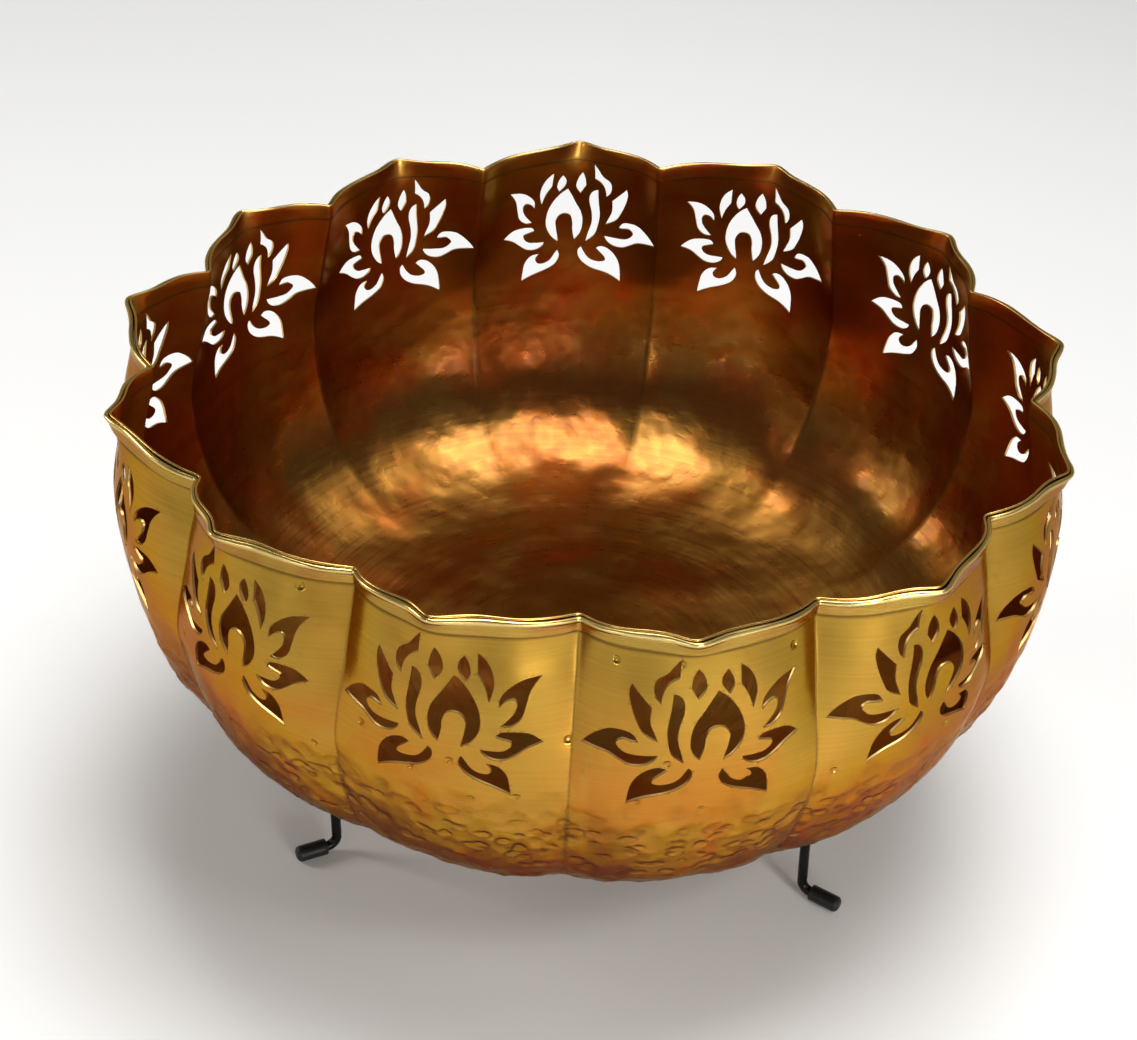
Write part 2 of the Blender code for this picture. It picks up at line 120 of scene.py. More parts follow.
# Seen from inside the bowl, in millimetres: x to the right of the panel's crown, y down from
# the rim. "|" in front of a point marks a sharp corner.
LOTUS = {
    "left_upper_hook":
        "| -32 25, -26 26, -21.5 29, -18.5 33, | -18 37.5, -20 35, -22.5 34, -24 35.5,"
        "-23.5 39.5, -21 43.5, | -18.5 46.5, -22 46.5, -25.5 43, -27 37, -28.5 30.5",
    "left_hook":
        "| -33.5 54.5, -28.5 50, -23 49, -18.5 49.5, | -17 52, -20 53, -22.5 54, -22 56.5,"
        "-19.5 58.5, -15.5 59, | -11.5 59, -12.5 61.5, -16 63.5, -20.5 63, -24.5 60, -28 57",
    "left_lower_hook":
        "| -13.5 66, -18 67, -21 71, -22 76.5, | -22.5 82, -17 79, -10 76, -5.5 73,"
        "-3.5 69, -3.5 66.5, | -4.5 64, -6 66.5, -8 70, -11.5 72, -14.5 71.5, -15.5 69",
    "left_blade":
        "| -10.5 16, -10.5 20, | -10.5 24.5, -13 29.5, | -14.5 35.5, -16 29, -15.5 23.5, -13.5 19",
    "left_diamond": "| -6 17.5, -4 20.5, -4 24, | -6.5 28, -8 24.5, -7.5 20.5",
    "right_diamond": "| 4 16, 6 19.5, | 7 24, | 4.5 29, 1.5 24.5, 2 19.5",
    "flame":
        "| -2.5 26, -0.5 29.5, 3 35.5, 6 40.5, 7.5 46.5, 7 53, | 4 58, 2.5 52, 2 47, 0.5 43,"
        "-2.5 42, -5 43, -6.5 46.5, -6 51, -5 56, | -4.5 59, -8 56, -11 50, -11.5 43.5,"
        "-10 36.5, -6.5 30",
    "stem":
        "| 14 26, 15 33, 16.5 42, 16 49, 14.5 54.5, | 10 59, 11 54, 12.5 47, 12 41, 10 34,"
        "10 29.5, 11.5 27",
    "comma":
        "| 10 11, 12.5 13.5, 16 17.5, 20 20, 21.5 23.5, 21 27.5, | 19 30, 18.5 27, 17 23.5,"
        "14.5 21, | 11.5 19.5, 11 15.5",
    "right_blade":
        "| 30 23, 31 27, 30 33, 28 39, 25.5 44, | 20 47.5, 21.5 43.5, 23 38.5, | 22.5 32, 25.5 28.5",
    "right_hook":
        "| 48.5 54.5, 46 51, 42.5 47.5, 38 44.5, 33 44, 29.5 45, | 27.5 48.5, 30 48.5,"
        "33 48, 35.5 50, 35 52, 32 54.5, 27 55, | 20 54.5, 21.5 57.5, 25 60, 30 60.5,"
        "34 58.5, 38 56, 43.5 55",
    "right_lower_hook":
        "| 30.5 81.5, 30 75, 29 70, 26.5 65.5, 22.5 62, 18.5 61, | 16 62.5,"
        "18.5 65, 21 67.5, 21.5 69.5, 18.5 70.5, 14 69.5, 11 67, | 8 62, 6.5 64,"
        "7 68, 10 72, 15 75, 22 77, 26.5 79",
}
TEMPLATE_UNIT = 0.001           # the drawing is in millimetres
LOTUS_HEIGHTEN = 1.04
LOTUS_DROP = -0.0015
HALF_PANEL = 0.0495
# Each lobe's lotus: how much wider than the drawing, and how far it is shifted.
LOTUS_PLACES = (
    (1.00, 0.0), (0.95, -0.0063), (0.97, 0.0005), (0.98, 0.0005), (1.04, -0.0046),
    (1.03, -0.004), (1.04, -0.0048), (1.04, -0.0041), (1.02, -0.0035), (1.02, -0.003),
    (1.02, -0.002), (1.00, -0.0002), (0.98, 0.0008),
)

# ---- fineness of the meshes

GRID = 0.0026                   # spacing of the upper wall's points
CUT_STEP = 0.0016               # and of the points along a cut's edge
CUT_CLEAR = 0.0012              # how far the wall's points keep from that edge
EDGE_WEAR = 0.0002              # bevel of the cut edges
RIM_ROUND = SHEET / 2
RIM_STEPS = 6
RIM_WEAR = 0.6                  # brightness of the rim's edge, where a cut's is 1
HAMMER_TOP = 0.092              # where the pierced panels end and the hammered bottom begins
HAMMER_GRID = 0.0021
HAMMER_FINE_END = 0.190         # below this, only the underside is left, on a wider grid
POLE_GRID = 0.0027
CREASE_STATIONS = (0.0004, 0.0009, 0.0016)      # extra points beside a crease
TIP_STATIONS = (0.0006, 0.0016)                 # and beside a tip
TIP_ROWS_END = 0.022
SAME_POINT = 1e-8               # points closer than this are one
SMOOTH_ANGLE = math.radians(50.0)

# ---- hand work on the sheet, and the painted shade on it

CREASE_SHADE_REACH = 0.0005          # how far the painted shade reaches from a crease
# darkness of the painted shade in the creases
CREASE_DARKNESS = 0.55
UNDER_BAND_SHADOW = 0.0007      # and of the painted shadow line under the band
UNDER_BAND_DROP = 0.0010
CUT_OUTLINE_SHADE = 0.6                # darkness of the painted shade that outlines the cuts
CUT_LINE = 0.0004               # and their width
LINE_CLEAR = 0.9 * CUT_LINE     # least distance of the line's points from a cut
SHARP_CORNER = -0.8             # cosine between the two edges of a sharp corner, at least
MARK_PATINA_AND_SHADE = 0.35              # darkness of the hammer marks' hollows: patina with painted shade
GROOVE_DEPTH = 0.0003           # the crease's own fine line
GROOVE_WIDTH = 0.0008
GROOVE_START = (0.03, 0.07)
GROOVE_END = (0.13, 0.20)
WAVE_HEIGHT = 0.0011            # slow unevenness of the whole wall, drawn out up and down
WAVE_LENGTH = 0.026
WAVE_STRETCH = 2.6
RIPPLE_HEIGHT = 0.00018
RIPPLE_LENGTH = 0.011
DIMPLE_SPACING = 0.0078         # hammer marks of the bottom
DIMPLE_RADIUS = (0.0048, 0.0068)
DIMPLE_DEPTH = (0.0005, 0.0010)
DIMPLE_POWER = 3
INSIDE_SOFTER = 0.8             # share of a mark's depth that doesn't show inside
DIMPLE_START = (0.080, 0.112)   # from the first few marks to a full cover
DIMPLE_JITTER = (0.35, 0.4)     # how far they stray along and across their rows, in spacings
DIMPLE_ROW = 0.85               # distance of the rows, in spacings
DIMPLE_FAINT = 0.4              # depth of the first few, as a share of the others'
DIMPLE_SEED = 13
PIT_RADIUS = 0.0021             # stray hammer marks higher up
PIT_DEPTH = 0.0008
PIT_RINGS = (0.25, 0.5, 0.75, 1.0, 1.2)         # the mesh's rings round each, in its radius
PIT_SPOKES = 10
PIT_CLEAR = 0.0006              # how far the rings keep from their panel's border
PIT_ROOM = 0.25                 # space between them and the grid, in the mark's radius
# Places of the stray marks on the front lobes: turn and down.
PITS = (
    (6.06, 0.0125), (6.33, 0.0140), (6.515, 0.0560), (6.70, 0.0850), (6.96, 0.0690), (6.23, 0.0830),
    (6.12, 0.0600), (5.80, 0.0740), (5.42, 0.0830), (5.62, 0.0150), (7.13, 0.0780), (7.36, 0.0640),
    (7.68, 0.0120), (8.40, 0.0730), (4.86, 0.0820), (5.97, 0.0880), (6.88, 0.0900), (7.60, 0.0880),
)


def smooth_step(low, high, x):
    """0 below low, 1 above high, and a smooth rise between."""
    t = np.clip((x - low) / (high - low), 0.0, 1.0)
    return t * t * (3.0 - 2.0 * t)


def belly_profile(steps=4000):
    """Length along the wall, radius and height of the crown line, rim to pole."""
    t = np.linspace(0.0, 1.0, steps)
    radius = (
        (1 - t) ** 3 * BELLY_RADIUS
        + 3 * t * (1 - t) ** 2 * BELLY_RADIUS
        + 3 * t**2 * (1 - t) * BELLY_FLAT
    )
    height = -3 * t * (1 - t) ** 2 * BELLY_FALL - (3 * t**2 * (1 - t) + t**3) * BELLY_DEPTH
    length = np.concatenate([[0.0], np.cumsum(np.hypot(np.diff(radius), np.diff(height)))])
    return length, radius, height + RIM_HEIGHT


PROFILE = belly_profile()
POLE_DOWN = PROFILE[0][-1]


def belly_point(down):
    """Radius and height of the crown line, and its outward direction, at a length down."""
    length, radius, height = PROFILE
    step = 0.0002
    run = np.interp(down + step, length, radius) - np.interp(down - step, length, radius)
    fall = np.interp(down + step, length, height) - np.interp(down - step, length, height)
    slant = np.hypot(run, fall)
    place = np.interp(down, length, radius), np.interp(down, length, height)
    return *place, -fall / slant, run / slant


def from_fold(across, down):
    """Share of half a lobe between a place and its nearest crease, rounded off at the crease."""
    blunt = FOLD_ROUND[0] + (FOLD_ROUND[1] - FOLD_ROUND[0]) * np.exp(-((down / FOLD_ROUND_FADE) ** 2))
    return np.hypot(1 - np.abs(across), blunt)


def relief(across, down):
    """How far the wall stands out from the plain belly: neck, crease and pinched tip."""
    side = np.maximum(1 - from_fold(across, down), 0.0)
    neck = NECK_DEPTH * np.exp(-((down / NECK_FADE) ** 2))
    depth = CREASE_DEPTH + (CREASE_DEPTH_LOW - CREASE_DEPTH) * smooth_step(*CREASE_EASE, down)
    depth = depth * (1 - smooth_step(*CREASE_END, down))
    depth = depth - CREASE_RIM_RISE * np.exp(-((down / CREASE_RIM_FADE) ** 2))
    power = CREASE_POWER + CREASE_RIM_POWER * np.exp(-down / CREASE_POWER_FADE)
    tip = TIP_REACH * np.exp(-((np.maximum(down, 0.0) / TIP_FADE) ** TIP_FADE_POWER))
    aside = np.hypot(across, TIP_ROUND)
    tip = tip * np.exp(-((aside / (TIP_WIDTH + TIP_SPREAD * down)) ** TIP_POWER))
    return tip - neck - depth * side**power


def bearing(angle):
    """Real direction of the wall, from +Y towards +X, for an evenly divided one."""
    return angle + TURN - DRIFT * np.cos(angle - DRIFT_PHASE)


def wall_point(turn, down, proud=0.0):
    """Point of the wall's outer face; proud moves it out by so much, or in if negative."""
    turn = np.asarray(turn, float)
    down = np.asarray(down, float)
    lobe = np.round(turn)
    across = 2 * (turn - lobe)
    radius, height, out, up = belly_point(down)
    before = np.clip(across, -1 + SLOPE_SPAN, 1 - SLOPE_SPAN) - SLOPE_SPAN
    slope = (relief(before + 2 * SLOPE_SPAN, down) - relief(before, down)) / (2 * SLOPE_SPAN)
    slant = np.hypot(1.0, slope / (radius * math.pi / LOBES + LEAST_WIDTH))
    move = relief(across, down) + proud * slant
    rise = TIP_RISE * from_fold(across, down) ** TIP_RISE_POWER
    rise = rise * np.exp(-np.maximum(down, 0.0) / TIP_RISE_FADE)
    start = bearing((lobe - 0.5) * PITCH)
    end = bearing((lobe + 0.5) * PITCH)
    crown = bearing(lobe * PITCH) + TIP_LEAN * np.exp(-down / TIP_LEAN_FADE)
    before_crown = start + (crown - start) * (across + 1)
    angle = np.where(across < 0, before_crown, crown + (end - crown) * across)
    fade = 1 - smooth_step(0.0, UNEVEN_END, down)
    spin = turn * PITCH
    uneven = OVAL * np.cos(2 * (spin + OVAL_PHASE)) + TRIANGLE * np.cos(3 * (spin + TRIANGLE_PHASE))
    reach = (radius + out * move) * (1 - uneven * fade)
    return np.stack([reach * np.sin(angle), reach * np.cos(angle), height + rise + up * move], -1)


def crease_distance(turn, down):
    """Length along the sheet from the nearest crease."""
    radius = belly_point(down)[0]
    return (0.5 - np.abs(turn - np.round(turn))) * PITCH * radius


# ---- the beaten surface


def scatter_dimples(rng):
    """Places, radii and depths of the hammer marks, in rings from the wall down to the pole."""
    places = []
    down = DIMPLE_START[0]
    while down < POLE_DOWN:
        radius = float(belly_point(np.array(down))[0])
        count = max(1, round(math.tau * radius / DIMPLE_SPACING))
        cover = float(smooth_step(*DIMPLE_START, down))
        for i in range(count):
            jitter = rng.uniform(-DIMPLE_JITTER[0], DIMPLE_JITTER[0])
            turn = LOBES * (i + jitter) / count
            level = down + rng.uniform(-DIMPLE_JITTER[1], DIMPLE_JITTER[1]) * DIMPLE_SPACING
            size = rng.uniform(*DIMPLE_RADIUS)
            depth = rng.uniform(*DIMPLE_DEPTH)
            depth *= DIMPLE_FAINT + (1 - DIMPLE_FAINT) * cover
            if rng.random() < cover:
                places.append((turn % LOBES, min(level, POLE_DOWN), size, depth))
        down += DIMPLE_SPACING * DIMPLE_ROW
    return np.array(places + [(*pit, PIT_RADIUS, PIT_DEPTH) for pit in PITS])


def beat(turn, down):
    """How far hand work moves each point outside and inside, and its depth in a mark, 0 to 1."""
    plain = wall_point(turn, down)
    move = np.zeros(len(plain))
    tree = kdtree.KDTree(len(plain))
    for i, point in enumerate(plain):
        stretched = Vector((point[0], point[1], point[2] / WAVE_STRETCH))
        move[i] = WAVE_HEIGHT * noise.noise(stretched / WAVE_LENGTH)
        move[i] += RIPPLE_HEIGHT * noise.noise(Vector(point) / RIPPLE_LENGTH)
        tree.insert(point, i)
    tree.balance()
    marks = scatter_dimples(random.Random(DIMPLE_SEED))
    centres = wall_point(marks[:, 0], marks[:, 1])
    deepest = np.zeros(len(plain))
    for centre, (_, _, size, depth) in zip(centres, marks):
        for _, i, distance in tree.find_range(Vector(centre), size):
            deepest[i] = max(deepest[i], depth * (1 - (distance / size) ** DIMPLE_POWER))
    groove = GROOVE_DEPTH * np.exp(-((crease_distance(turn, down) / GROOVE_WIDTH) ** 2))
    groove = groove * smooth_step(*GROOVE_START, down) * (1 - smooth_step(*GROOVE_END, down))
    outer = move - deepest - groove
    return outer, outer + INSIDE_SOFTER * deepest, deepest / DIMPLE_DEPTH[1]


# ---- lotus cuts


def read_outline(text, widen, shift):
    """Template text to panel points in metres, each with True where it is a corner."""
    words = text.split(",")
    points = np.array([word.replace("|", "").split() for word in words], float)
    points = points * (widen, LOTUS_HEIGHTEN) * TEMPLATE_UNIT + (shift, LOTUS_DROP)
    return points, ["|" in word for word in words]


def smooth_outline(points, corners):
    """A closed curve through the points, smooth except at the corners."""
    count = len(points)
    curve = []
    for i in range(count):
        start = points[i]
        end = points[(i + 1) % count]
        leave = (end - points[i - 1]) / 2
        arrive = (points[(i + 2) % count] - start) / 2
        if corners[i]:
            leave = (3 * (end - start) - arrive) / 2
        if corners[(i + 1) % count]:
            arrive = (3 * (end - start) - leave) / 2
        if corners[i] and corners[(i + 1) % count]:
            leave = arrive = end - start
        steps = max(2, math.ceil(np.linalg.norm(end - start) / CUT_STEP))
        for t in np.arange(steps) / steps:
            curve.append(
                (1 + 2 * t) * (1 - t) ** 2 * start
                + t * (1 - t) ** 2 * leave
                + t**2 * (3 - 2 * t) * end
                - t**2 * (1 - t) * arrive
            )
    return np.array(curve)


def inside_outline(points, outline):
    """For each flat point, whether it lies inside the closed outline."""
    inside = np.zeros(len(points), bool)
    for start, end in zip(outline, np.roll(outline, -1, axis=0)):
        spans = (start[1] > points[:, 1]) != (end[1] > points[:, 1])
        slope = (end[0] - start[0]) / (end[1] - start[1] if end[1] != start[1] else 1.0)
        inside ^= spans & (points[:, 0] < start[0] + (points[:, 1] - start[1]) * slope)
    return inside


def clear_of_cuts(points, cuts, space=CUT_CLEAR):
    """For each flat point, whether it keeps away from every cut."""
    clear = np.ones(len(points), bool)
    for cut in cuts:
        clear &= ~inside_outline(points, cut)
        nearest = np.min(np.hypot(*(points[:, None] - cut[None]).transpose(2, 0, 1)), axis=1)
        clear &= nearest > space
    return clear


def unit(vectors):
    """The same directions, each of length one."""
    return vectors / np.linalg.norm(vectors, axis=1)[:, None]


def outline_points(cuts):
    """Points that follow every cut a hair's breadth outside it."""
    points = []
    for cut in cuts:
        middle = (cut + np.roll(cut, -1, axis=0)) / 2
        after = unit(np.roll(cut, -1, axis=0) - cut)
        before = unit(np.roll(cut, 1, axis=0) - cut)
        across = np.stack([after[:, 1], -after[:, 0]], -1)
        outward = np.where(inside_outline(middle + across * CUT_LINE, cut), -1.0, 1.0)
        points.append(middle + across * (outward * CUT_LINE)[:, None])
        sharp = np.sum(before * after, axis=1) > SHARP_CORNER
        away = unit(-(before + after)[sharp]) * CUT_LINE
        within = inside_outline(cut[sharp] + away, cut)
        points.append(cut[sharp] + np.where(within[:, None], -away, away))
    points = np.concatenate(points)
    return points[clear_of_cuts(points, cuts, LINE_CLEAR)]


# ---- the sheet's layout


def panel_rows():
    """Lengths down the wall of the pierced panels' rows."""
    line = BAND_HEIGHT + UNDER_BAND_DROP
    even = np.linspace(line + 4 * UNDER_BAND_SHADOW, HAMMER_TOP, 1 + round(HAMMER_TOP / GRID))
    under_band = line + UNDER_BAND_SHADOW * np.array([-3.0, -1.0, 0.0, 1.0, 2.0])
    return np.concatenate([[RIM_ROUND, RIM_ROUND + GRID], under_band, even])


def row_stations(down):
    """Places across half a panel, from its crown to the crease, on its flat layout."""
    even = np.linspace(0.0, HALF_PANEL, 1 + round(HALF_PANEL / GRID))
    extra = [HALF_PANEL - x for x in CREASE_STATIONS]
    if down < TIP_ROWS_END:
        extra += list(TIP_STATIONS)
    return np.unique(np.round(np.concatenate([even, extra]), 6))


def pit_points(lobe):
    """A panel's stray marks: their centres, and the flat points of the rings round them."""
    centres = []
    points = []
    for turn, down in PITS:
        x = (turn - lobe) * 2 * HALF_PANEL
        if abs(x) < HALF_PANEL and down < HAMMER_TOP:
            centres.append((x, down))
            points.append((x, down))
            for ring in PIT_RINGS:
                reach = ring * PIT_RADIUS
                for a in np.arange(PIT_SPOKES) * math.tau / PIT_SPOKES:
                    spot = (x + reach * math.cos(a), down + reach * math.sin(a))
                    beside = abs(spot[0]) < HALF_PANEL - PIT_CLEAR
                    if beside and spot[1] < HAMMER_TOP - PIT_CLEAR:
                        points.append(spot)
    return centres, points


def triangulate(points, edges=()):
    """Triangles between flat points, with the given edges among theirs."""
    result = delaunay_2d_cdt([Vector(p) for p in points], edges, [], 0, SAME_POINT)
    renumber = {new: olds[0] for new, olds in enumerate(result[3])}
    if len(renumber) != len(points):
        raise ValueError("two flat points coincide or two cuts cross")
    return np.array([[renumber[i] for i in face] for face in result[2]])


def lay_panel(lobe):
    """One pierced panel: flat points, triangles, cut loops and the rows' end points."""
    cuts = [smooth_outline(*read_outline(text, *LOTUS_PLACES[lobe])) for text in LOTUS.values()]
    rows = panel_rows()
    sides = [[(x, down) for down in rows] for x in (-HALF_PANEL, HALF_PANEL)]
    grid = []
    for down in rows:
        half = row_stations(down)[:-1]
        grid.append([(x, down) for x in np.concatenate([-half[:0:-1], half])])
    middle = np.concatenate(grid[1:-1])
    centres, rings = pit_points(lobe)
    for centre in centres:
        middle = middle[np.hypot(*(middle - centre).T) > PIT_RADIUS * (PIT_RINGS[-1] + PIT_ROOM)]
    if rings:
        middle = np.concatenate([middle, rings])
    middle = np.concatenate([middle[clear_of_cuts(middle, cuts)], outline_points(cuts)])
    groups = [*sides, grid[0], grid[-1], middle, *cuts]
    starts = np.concatenate([[0], np.cumsum([len(group) for group in groups])])
    points = np.concatenate(groups)
    numbers = [list(range(a, b)) for a, b in zip(starts, starts[1:])]
    left, right, top, bottom = numbers[:4]
    border = [left[0]] + top + right + bottom[::-1] + left[:0:-1]
    edges = []
    for loop in numbers[5:] + [border]:
        edges += zip(loop, loop[1:] + loop[:1])
    triangles = triangulate(points, edges)
    centres = points[triangles].mean(axis=1)
    solid = np.ones(len(triangles), bool)
    for cut in cuts:
        solid &= ~inside_outline(centres, cut)
    rim = [left[0]] + top + [right[0]]
    foot = [left[-1]] + bottom + [right[-1]]
    return points, triangles[solid], numbers[5:], left, right, rim, foot


def lay_bottom(first):
    """The hammered bottom: points (turn, down) after the given first ring, and triangles."""
    rings = []
    down = HAMMER_TOP
    while True:
        down += HAMMER_GRID if down < HAMMER_FINE_END else POLE_GRID
        if down > POLE_DOWN - POLE_GRID / 2:
            break
        spacing = HAMMER_GRID if down < HAMMER_FINE_END else POLE_GRID
        radius = float(belly_point(np.array(down))[0])
        each = max(1, round(PITCH * radius / spacing))
        turns = np.arange(LOBES * each) / each + 0.5
        rings.append(np.stack([turns, np.full(len(turns), down)], -1))
    points = np.concatenate([first] + rings + [[(0.0, POLE_DOWN)]])
    reach = POLE_DOWN - points[:, 1]
    flat = np.stack([reach * np.sin(points[:, 0] * PITCH), reach * np.cos(points[:, 0] * PITCH)], -1)
    return points, triangulate(flat)


def lay_sheet():
    """The whole sheet laid out once: points (turn, down), triangles, cut loops and the rim."""
    points = []
    triangles = []
    loops = []
    rim = []
    foot = []
    panels = [lay_panel(lobe) for lobe in range(LOBES)]
    starts = np.concatenate([[0], np.cumsum([len(panel[0]) for panel in panels])])
    for lobe, (flat, faces, cuts, left, right, top, bottom) in enumerate(panels):
        number = np.arange(len(flat)) + starts[lobe]
        # A panel's right edge is the next panel's left edge.
        number[right] = starts[(lobe + 1) % LOBES] + np.array(panels[(lobe + 1) % LOBES][3])
        turn = lobe + flat[:, 0] / HALF_PANEL / 2
        points.append(np.stack([turn, flat[:, 1]], -1))
        triangles.append(number[faces])
        loops += [number[cut] for cut in cuts]
        rim += list(number[top[:-1]])
        foot += list(number[bottom[:-1]])
    points = np.concatenate(points)
    more, faces = lay_bottom(points[foot])
    number = np.concatenate([foot, starts[-1] + np.arange(len(more) - len(foot))])
    points = np.concatenate([points, more[len(foot):]])
    triangles.append(number[faces][:, ::-1])
    return points, np.concatenate(triangles), loops, np.array(rim)


# ---- mesh helpers


def new_object(name, data):
    """A mesh, lamp or camera as an object in the scene."""
    made = bpy.data.objects.new(name, data)
    bpy.context.scene.collection.objects.link(made)
    return made


def make_object(name, vertices, faces, attributes=None):
    """A smooth shaded mesh object with its faces turned out, and its point attributes."""
    mesh = bpy.data.meshes.new(name)
    mesh.from_pydata([tuple(v) for v in vertices], [], [tuple(f) for f in faces])
    for key, values in (attributes or {}).items():
        kind, field = ("FLOAT_VECTOR", "vector") if values.ndim == 2 else ("FLOAT", "value")
        layer = mesh.attributes.new(key, kind, "POINT")
        layer.data.foreach_set(field, values.astype(np.float32).ravel())
    bm = bmesh.new()
    bm.from_mesh(mesh)
    loose = [v for v in bm.verts if not v.link_faces]
    bmesh.ops.delete(bm, geom=loose, context="VERTS")
    bmesh.ops.recalc_face_normals(bm, faces=bm.faces)
    bm.to_mesh(mesh)
    bm.free()
    mesh.shade_smooth()
    mesh.set_sharp_from_angle(angle=SMOOTH_ANGLE)
    return new_object(name, mesh)


def tube_faces(rings, sides, closed=False):
    """Quads between rings of points; a tube that isn't closed round gets flat ends."""
    faces = []
    for ring in range(rings if closed else rings - 1):
        a = ring * sides
        b = (ring + 1) % rings * sides
        faces += [(a + i, a + (i + 1) % sides, b + (i + 1) % sides, b + i) for i in range(sides)]
    if not closed:
        faces.append(tuple(range(sides - 1, -1, -1)))
        faces.append(tuple((rings - 1) * sides + i for i in range(sides)))
    return faces


def bridge(rows):
    """Quads between closed rows of point numbers, each with the next."""
    faces = []
    for first, second in zip(rows, rows[1:]):
        for i in range(len(first)):
            j = (i + 1) % len(first)
            faces.append((first[i], first[j], second[j], second[i]))
    return faces


# ---- the bowl


def brush_vector(turn, down):
    """Coordinates that follow the sheet: round the bowl in X and Y, and down the wall in Z."""
    spin = turn * PITCH
    return np.stack([BELLY_RADIUS * np.sin(spin), BELLY_RADIUS * np.cos(spin), down], -1)


def make_shell():
    """The beaten sheet as one closed body, with its cut edges and rounded rim."""
    layout, triangles, loops, rim = lay_sheet()
    turn, down = layout.T
    outer_move, inner_move, depth = beat(turn, down)
    # Painted shade: dark along the creases, a painted shadow line under the band and dark outlines
    # round the cuts; in the hammer marks' hollows, patina with painted shade.
    crease = np.exp(-((crease_distance(turn, down) / CREASE_SHADE_REACH) ** 2))
    crease = crease * (1 - smooth_step(*GROOVE_END, down))
    under_band = np.exp(-(((down - BAND_HEIGHT - UNDER_BAND_DROP) / UNDER_BAND_SHADOW) ** 2))
    patina_and_shade = np.maximum(CREASE_DARKNESS * crease, under_band) + MARK_PATINA_AND_SHADE * depth
    patina_and_shade[np.concatenate(loops)] = np.maximum(patina_and_shade[np.concatenate(loops)], CUT_OUTLINE_SHADE)
    patina_and_shade = np.clip(patina_and_shade, 0.0, 1.0)
    parts = []
    marks = []

    def add(ids, drop, proud, cut, inside):
        """Points above the layout's own; the result is their numbers."""
        first = sum(len(part) for part in parts)
        move = inner_move if inside > 0.5 else outer_move
        parts.append(wall_point(turn[ids], drop, move[ids] + proud))
        ones = np.ones(len(ids))
        marks.append(np.stack([turn[ids], drop, patina_and_shade[ids], cut * ones, inside * ones], -1))
        return first + np.arange(len(ids))

    every = np.arange(len(turn))
    add(every, down, 0.0, 0.0, 0.0)
    inner = add(every, down, -SHEET, 0.0, 1.0)
    faces = [tuple(t) for t in triangles] + [tuple(inner[t[::-1]]) for t in triangles]
    for loop in loops:
        rows = [loop]
        for proud in (-EDGE_WEAR, EDGE_WEAR - SHEET):
            rows.append(add(loop, down[loop], proud, 1.0, 0.5))
        faces += bridge(rows + [inner[loop]])
    rows = [rim]
    for bend in np.linspace(0.0, math.pi, RIM_STEPS + 1)[1:-1]:
        proud = -RIM_ROUND + RIM_ROUND * math.cos(bend)
        drop = np.full(len(rim), RIM_ROUND - RIM_ROUND * math.sin(bend))
        rows.append(add(rim, drop, proud, RIM_WEAR, bend / math.pi))
    faces += bridge(rows + [inner[rim]])
    marks = np.concatenate(marks)
    attributes = {
        "brush": brush_vector(*marks.T[:2]),
        "patina_and_shade": marks[:, 2],
        "cut": marks[:, 3],
        "inside": marks[:, 4],
    }
    return make_object("beaten_shell", np.concatenate(parts), faces, attributes)


BAND_GAP = 0.0001               # between the strip and the sheet
LIP_RADIUS = 0.0011             # the strip's rounded upper lip
LIP_DROP = 0.0004               # how far it stays below the sheet's own edge
BAND_FACE = 0.0015              # thickness of the flat face below the lip
BAND_LOW = 0.0012               # its thickness near the strip's lower edge
BAND_FOOT = 0.0006              # and at that edge
LIP_END = 0.0034                # where the lip has run out
FOOT_ROUND = 0.0007
LIP_STEPS = 8
BAND_SWAY = 0.0003              # how far its lower edge wanders
BAND_SWAY_LENGTH = 0.021
BAND_DENT = 0.16                # share by which its thickness varies
BAND_DENT_LENGTH = 0.010
BAND_STATIONS = 64
BAND_FACE_STEPS = 4


